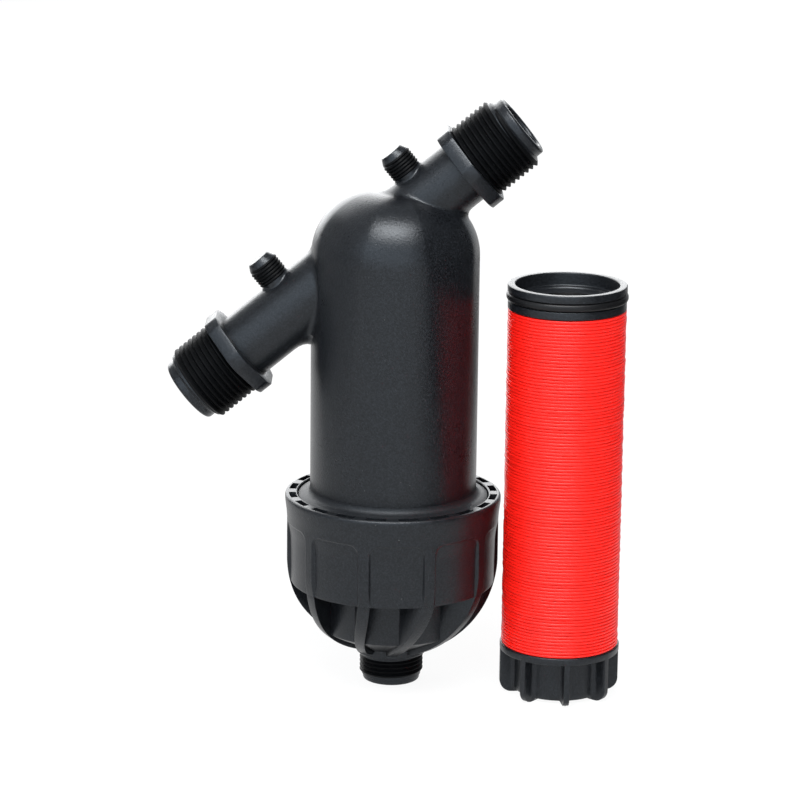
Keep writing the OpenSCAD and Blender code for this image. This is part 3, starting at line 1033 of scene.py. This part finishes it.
def disc_stack():
    """Thin separate discs, each a little off its neighbours."""
    shuffle = random.Random(7)
    pitch = (STACK_TOP - NUT_TOP) / DISC_COUNT
    bevel = (pitch - DISC_EDGE) / 2
    edge_r = DISC_R - DISC_GROOVE
    bevel_r = DISC_R - DISC_BEVEL
    low_half = [
        (DISC_BORE_R, DISC_GAP), (edge_r, DISC_GAP), (bevel_r, bevel * BEVEL_SHARE), (DISC_R, bevel),
    ]
    outline = low_half + [(radius, pitch - z) for radius, z in reversed(low_half)]
    first = turned("disc", outline, steps=80)
    discs = []
    for i in range(DISC_COUNT):
        disc = first if i == 0 else first.copy()
        if i:
            disc.data = first.data.copy()
            bpy.context.scene.collection.objects.link(disc)
        discs.append(disc)
    for i, disc in enumerate(discs):
        slip = Vector((shuffle.gauss(0, DISC_SLIP), shuffle.gauss(0, DISC_SLIP), 0))
        size = 1 + shuffle.gauss(0, DISC_SPREAD)
        tilt = Matrix.Rotation(shuffle.gauss(0, DISC_TILT), 4, "X")
        seat = Matrix.Translation(STAND + slip + UP * (NUT_TOP + pitch * i))
        place(disc, seat @ tilt @ Matrix.Diagonal((size, size, 1, 1)))
    stack = coated(smooth(joined("disc_stack", discs)), DISC_RED)
    return dressed(stack, "housing", "disc_plastic", "filter_discs")


def nut_outline():
    """Section of the nut, from its flange down the outside and back up its bore."""
    low = NUT_TOP - NUT_FLANGE_T
    edge_r = NUT_R - NUT_EDGE
    fins = [low - d * MM for d in (0.4, 1.2, 3, 5, 7, 9, 11)]
    turns = [math.radians(a) for a in (0, 12, 24, 36, 48, 60, 70, 80, 90)]
    curve = [NUT_FIN_ROUND * (1 - math.sin(turn)) for turn in turns]
    outer = arc((edge_r, NUT_TOP - NUT_EDGE), NUT_EDGE, 90, 0, 4)
    outer += arc((edge_r, low + NUT_EDGE), NUT_EDGE, 0, -90, 3)
    side = [(None, z) for z in fins + curve]
    floor_z = NUT_LIFT + NUT_FLOOR
    bore = [(NUT_FOOT_R, 0), (0, 0), (0, floor_z), (NUT_BORE_R, floor_z), (NUT_BORE_R, NUT_TOP)]
    return outer, side, bore


def nut_radius(turn, z):
    """Outside radius of the nut's lower part: a round core with plates that stand out."""
    limit = NUT_R
    if z < NUT_FIN_ROUND:
        across = math.sqrt(max(0.0, NUT_FIN_ROUND ** 2 - (NUT_FIN_ROUND - z) ** 2))
        limit = NUT_R - NUT_FIN_ROUND + across
    core = NUT_CORE_R - max(0.0, NUT_LIFT + NUT_CORE_LEAD - z) * NUT_CORE_TAPER
    plate = NUT_FIN_HALF / max(1e-6, math.sin(abs(turn)))
    reach = min(limit, plate)
    if reach >= NUT_CORE_R + NUT_FIN_FILLET:
        return reach
    gap = abs(turn) * NUT_CORE_R - NUT_FIN_HALF
    rise = max(0.0, 1 - gap / NUT_FILLET_REACH)
    return core + NUT_FIN_FILLET * rise * rise


def nut_sector():
    """An eighth of the nut, with one fin in its middle."""
    outer, side, bore = nut_outline()
    half = math.pi / NUT_FIN_COUNT
    turns = [math.radians(d) for d in NUT_DEGREES] + [half]
    turns = sorted([-t for t in turns[1:]] + turns)
    rows = []
    for radius, z in outer + side + bore:
        row = []
        for turn in turns:
            past_fin = abs(turn) * NUT_CORE_R - NUT_FIN_HALF
            off = max(0.0, min(1.0, past_fin / NUT_LIFT_SLOPE))
            height = max(z, NUT_LIFT * off) if z < NUT_LIFT else z
            r = nut_radius(turn, z) if radius is None else radius
            if radius is not None and z < NUT_TOP - NUT_FLANGE_T / 2 and r > NUT_CORE_R:
                r = max(r, nut_radius(turn, z))
            row.append((r * math.cos(turn), r * math.sin(turn), height))
        rows.append(row)
    return woven_grid("nut_sector", rows, closed_rows=True)


def nut():
    """The finned nut that the cartridge stands on."""
    piece = joined("cartridge_nut_moulding", copies(nut_sector(), NUT_FIN_COUNT))
    tidy_mesh(piece, SECTOR_GAP)
    place(piece, Matrix.Translation(STAND) @ Matrix.Rotation(FRONT + NUT_FIN_TURN, 4, "Z"))
    coated(smooth(piece, 35), CAP_BLACK)
    return dressed(piece, "housing", "black_plastic", "cartridge_nut")


def spine():
    """Head with its lip, seal groove and mouth, on the slotted tube inside the discs."""
    groove_z = STACK_TOP + HEAD_BAND
    lip_z = groove_z + HEAD_GROOVE
    ledge_z = HEAD_TOP - MOUTH_DEPTH
    edge = HEAD_EDGE
    step_z = NUT_TOP + SPINE_STEP
    head_z = STACK_TOP + SEAL_PLAY
    ledge_r = MOUTH_R - MOUTH_LEDGE
    outline = [
        (SPINE_BORE_R, SPINE_FOOT), (SPINE_THREAD_R, SPINE_FOOT), (SPINE_THREAD_R, step_z),
        (SPINE_R, step_z), (SPINE_R, head_z), (HEAD_R - HEAD_STEP, head_z),
        (HEAD_R, head_z + HEAD_STEP),
        *arc((HEAD_R - edge, groove_z - edge), edge, 0, 90, 3),
        (GROOVE_R, groove_z), (GROOVE_R, lip_z),
        *arc((LIP_R - edge, lip_z + edge), edge, -90, 0, 3),
        *arc((LIP_R - edge, HEAD_TOP - edge), edge, 0, 90, 4),
        *arc((MOUTH_R + edge, HEAD_TOP - edge), edge, 90, 180, 4),
        *arc((MOUTH_R - MOUTH_ROUND, ledge_z + MOUTH_ROUND), MOUTH_ROUND, 0, -90, 3),
        (ledge_r, ledge_z), (ledge_r - MOUTH_SLOPE, ledge_z - edge),
        (SPINE_BORE_R + THROAT_STEP, ledge_z - THROAT_TOP), (SPINE_BORE_R, ledge_z - THROAT_FOOT),
    ]
    piece = turned("spine_moulding", outline, steps=128)
    low = NUT_TOP + SLOT_MARGIN
    high = STACK_TOP - SLOT_MARGIN
    for turn in (45, -45):
        start_clean()
        bpy.ops.mesh.primitive_cube_add(size=1)
        slot = place(bpy.context.object, Matrix.Diagonal((2 * DISC_R, SLOT_W, high - low, 1)))
        soften(slot, SLOT_ROUND, 30, 3)
        middle = Matrix.Translation((0, 0, (low + high) / 2))
        carve(piece, place(slot, middle @ Matrix.Rotation(math.radians(turn), 4, "Z")))
    coated(smooth(piece), CAP_BLACK)
    # The bore below the mouth's ledge takes the darker finish, as painted shade inside the bore
    piece.data.materials.append(SHADE_PAINTED_BLACK)
    for face in piece.data.polygons:
        in_bore = math.hypot(face.center.x, face.center.y) < PAINTED_SHADE_BORE_R
        face.material_index = 1 if in_bore and face.center.z < ledge_z else 0
    place(piece, Matrix.Translation(STAND))
    return dressed(piece, "spine", "black_plastic", "cartridge_spine")


def head_seal():
    """The ring in the groove of the cartridge's head."""
    low = STACK_TOP + HEAD_BAND + SEAL_PLAY
    high = STACK_TOP + HEAD_BAND + HEAD_GROOVE - SEAL_PLAY
    inner = GROOVE_R + SEAL_PLAY
    round_r = SEAL_OUT - SEAL_ROUND
    outline = [
        (inner, low), *arc((round_r, low + SEAL_ROUND), SEAL_ROUND, -90, 0, 6),
        *arc((round_r, high - SEAL_ROUND), SEAL_ROUND, 0, 90, 6), (inner, high),
    ]
    piece = place(turned("head_seal_ring", outline, steps=128), Matrix.Translation(STAND))
    coated(smooth(piece, 40), RUBBER)
    return dressed(piece, "head_seal", "seal_rubber", "head_seal")


def cap_seal():
    """The ring under the housing's collar, with the thin parting line of its mould."""
    low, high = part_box("cap_seal")
    radius = (high.z - low.z) / 2
    middle = (high.x - radius, (low.z + high.z) / 2)
    steps = 24
    ring = arc(middle, radius * PARTING_SHARE, 0, 360, steps)[:-1]
    ring[0] = (middle[0] + radius, middle[1])
    ring[steps // 2] = (middle[0] - radius, middle[1])
    piece = turned("cap_seal_ring", ring, steps=128)
    coated(smooth(piece, 60), RUBBER)
    return dressed(piece, "cap_seal", "seal_rubber", "cap_seal")


# Camera, light and floor

CAMERA_AT = Vector((2.458, -1355.238, 470.506)) * MM
CAMERA_PITCH = math.radians(14.4954)
CAMERA_ROLL = math.radians(0.6632)
FOCAL_PIXELS = 3400
PHOTO_PIXELS = 800
SENSOR = 36
FAR = 50
COOL = (0.78, 0.89, 1.0)
SKY_TINT = (0.9, 0.95, 1.0, 1.0)
FLOOR_SIZE = 16
FLOOR_GREY = 0.9
FLOOR_GLOW = 0.92


def camera():
    """The camera at the photograph's viewing angle."""
    data = bpy.data.cameras.new("camera")
    data.sensor_width = SENSOR
    data.lens = FOCAL_PIXELS / PHOTO_PIXELS * SENSOR
    data.clip_end = FAR
    piece = bpy.data.objects.new("camera", data)
    bpy.context.scene.collection.objects.link(piece)
    tilt = Matrix.Rotation(math.pi / 2 - CAMERA_PITCH, 4, "X")
    piece.matrix_world = Matrix.Translation(CAMERA_AT) @ tilt @ Matrix.Rotation(CAMERA_ROLL, 4, "Z")
    bpy.context.scene.camera = piece


def softbox(name, spot, aim, width, height, power, tint=(1, 1, 1)):
    """A soft lamp that the camera doesn't see, aimed at a spot."""
    data = bpy.data.lights.new(name, "AREA")
    data.shape = "RECTANGLE"
    data.size = width
    data.size_y = height
    data.energy = power
    data.color = tint
    lamp = bpy.data.objects.new(name, data)
    lamp.visible_camera = False
    bpy.context.scene.collection.objects.link(lamp)
    spot = Vector(spot)
    turn = (Vector(aim) - spot).to_track_quat("-Z", "Y").to_matrix().to_4x4()
    lamp.matrix_world = Matrix.Translation(spot) @ turn


def seen_directly(finish):
    """1 for rays from the camera, or mirrored or refracted ones, and 0 for scattered light."""
    rays = ("Is Camera Ray", "Is Glossy Ray", "Is Transmission Ray")
    first, second, third = (finish.node("LightPath", output=ray) for ray in rays)
    return finish.node("Math", {"operation": "MAXIMUM"}, {
        0: finish.node("Math", {"operation": "MAXIMUM"}, {0: first, 1: second}), 1: third,
    })


def dark_card(name, x, y, length, height, shade):
    """A dark panel beside the object that only its reflections show."""
    start_clean()
    bpy.ops.mesh.primitive_plane_add(size=1)
    card = bpy.context.object
    card.name = name
    upright = Matrix.Rotation(math.pi / 2, 4, "Y") @ Matrix.Diagonal((height, length, 1, 1))
    place(card, Matrix.Translation((x, y, height / 2)) @ upright)
    for ray in ("camera", "diffuse", "transmission", "shadow"):
        setattr(card, "visible_" + ray, False)
    finish = Finish(name)
    coated(card, finish.finish(finish.node("BsdfDiffuse", None, {"Color": grey(shade)})))


def studio():
    """Pale floor, a bright back, light from above and in front, and dark sides."""
    world = bpy.data.worlds.new("studio")
    bpy.context.scene.world = world
    finish = Finish("studio", world)
    height = finish.node("SeparateXYZ", None, {0: finish.node("TexCoord", output="Generated")}, "Z")
    strength = finish.node("MapRange", None, {
        "Value": height, "From Min": 0.02, "From Max": 0.3, "To Min": 1.0, "To Max": 0.5,
    })
    sky = finish.node("Background", None, {"Color": SKY_TINT, "Strength": strength})
    finish.node("OutputWorld", None, {"Surface": sky})

    softbox(
        "back_softbox", spot=(-0.9, 1.7, 0.9), aim=(-0.2, 0, 0.6), width=3.2, height=1.6, power=62,
    )
    softbox(
        "top_softbox", spot=(-0.1, -0.66, 1.42), aim=(0, 0, 0.2), width=1.1, height=0.62, power=33,
    )
    softbox(
        "front_softbox", spot=(-0.1, -2.2, 0.95), aim=(0, 0, 0.2), width=2.4, height=1.8, power=21,
        tint=COOL,
    )
    softbox(
        "left_softbox", spot=(-1.3, -1.2, 1.0), aim=(0, 0, 0.15), width=1.4, height=1.2, power=8,
        tint=COOL,
    )
    softbox(
        "right_softbox", spot=(1.3, -0.9, 0.8), aim=(0.05, 0, 0.12), width=0.8, height=0.8, power=5,
    )
    dark_card("left_card", x=-0.5, y=0.22, length=0.84, height=0.6, shade=0.25)
    dark_card("right_card", x=0.27, y=-0.05, length=0.54, height=0.5, shade=0.03)
    dark_card("low_right_card", x=0.27, y=0.685, length=0.93, height=0.07, shade=0.03)

    start_clean()
    bpy.ops.mesh.primitive_plane_add(size=FLOOR_SIZE)
    floor = bpy.context.object
    floor.name = "floor"
    finish = Finish("pale_floor")
    paint = finish.node("BsdfDiffuse", None, {"Color": grey(FLOOR_GREY)})
    shine = finish.node("Emission", None, {"Color": grey(1.0), "Strength": 1.0})
    share = seen_directly(finish) * FLOOR_GLOW
    coated(floor, finish.finish(finish.node("MixShader", None, {0: share, 1: paint, 2: shine})))


camera()
housing()
cap()
disc_stack()
nut()
spine()
head_seal()
cap_seal()
studio()

settings = bpy.context.scene.view_settings
settings.view_transform = "Standard"
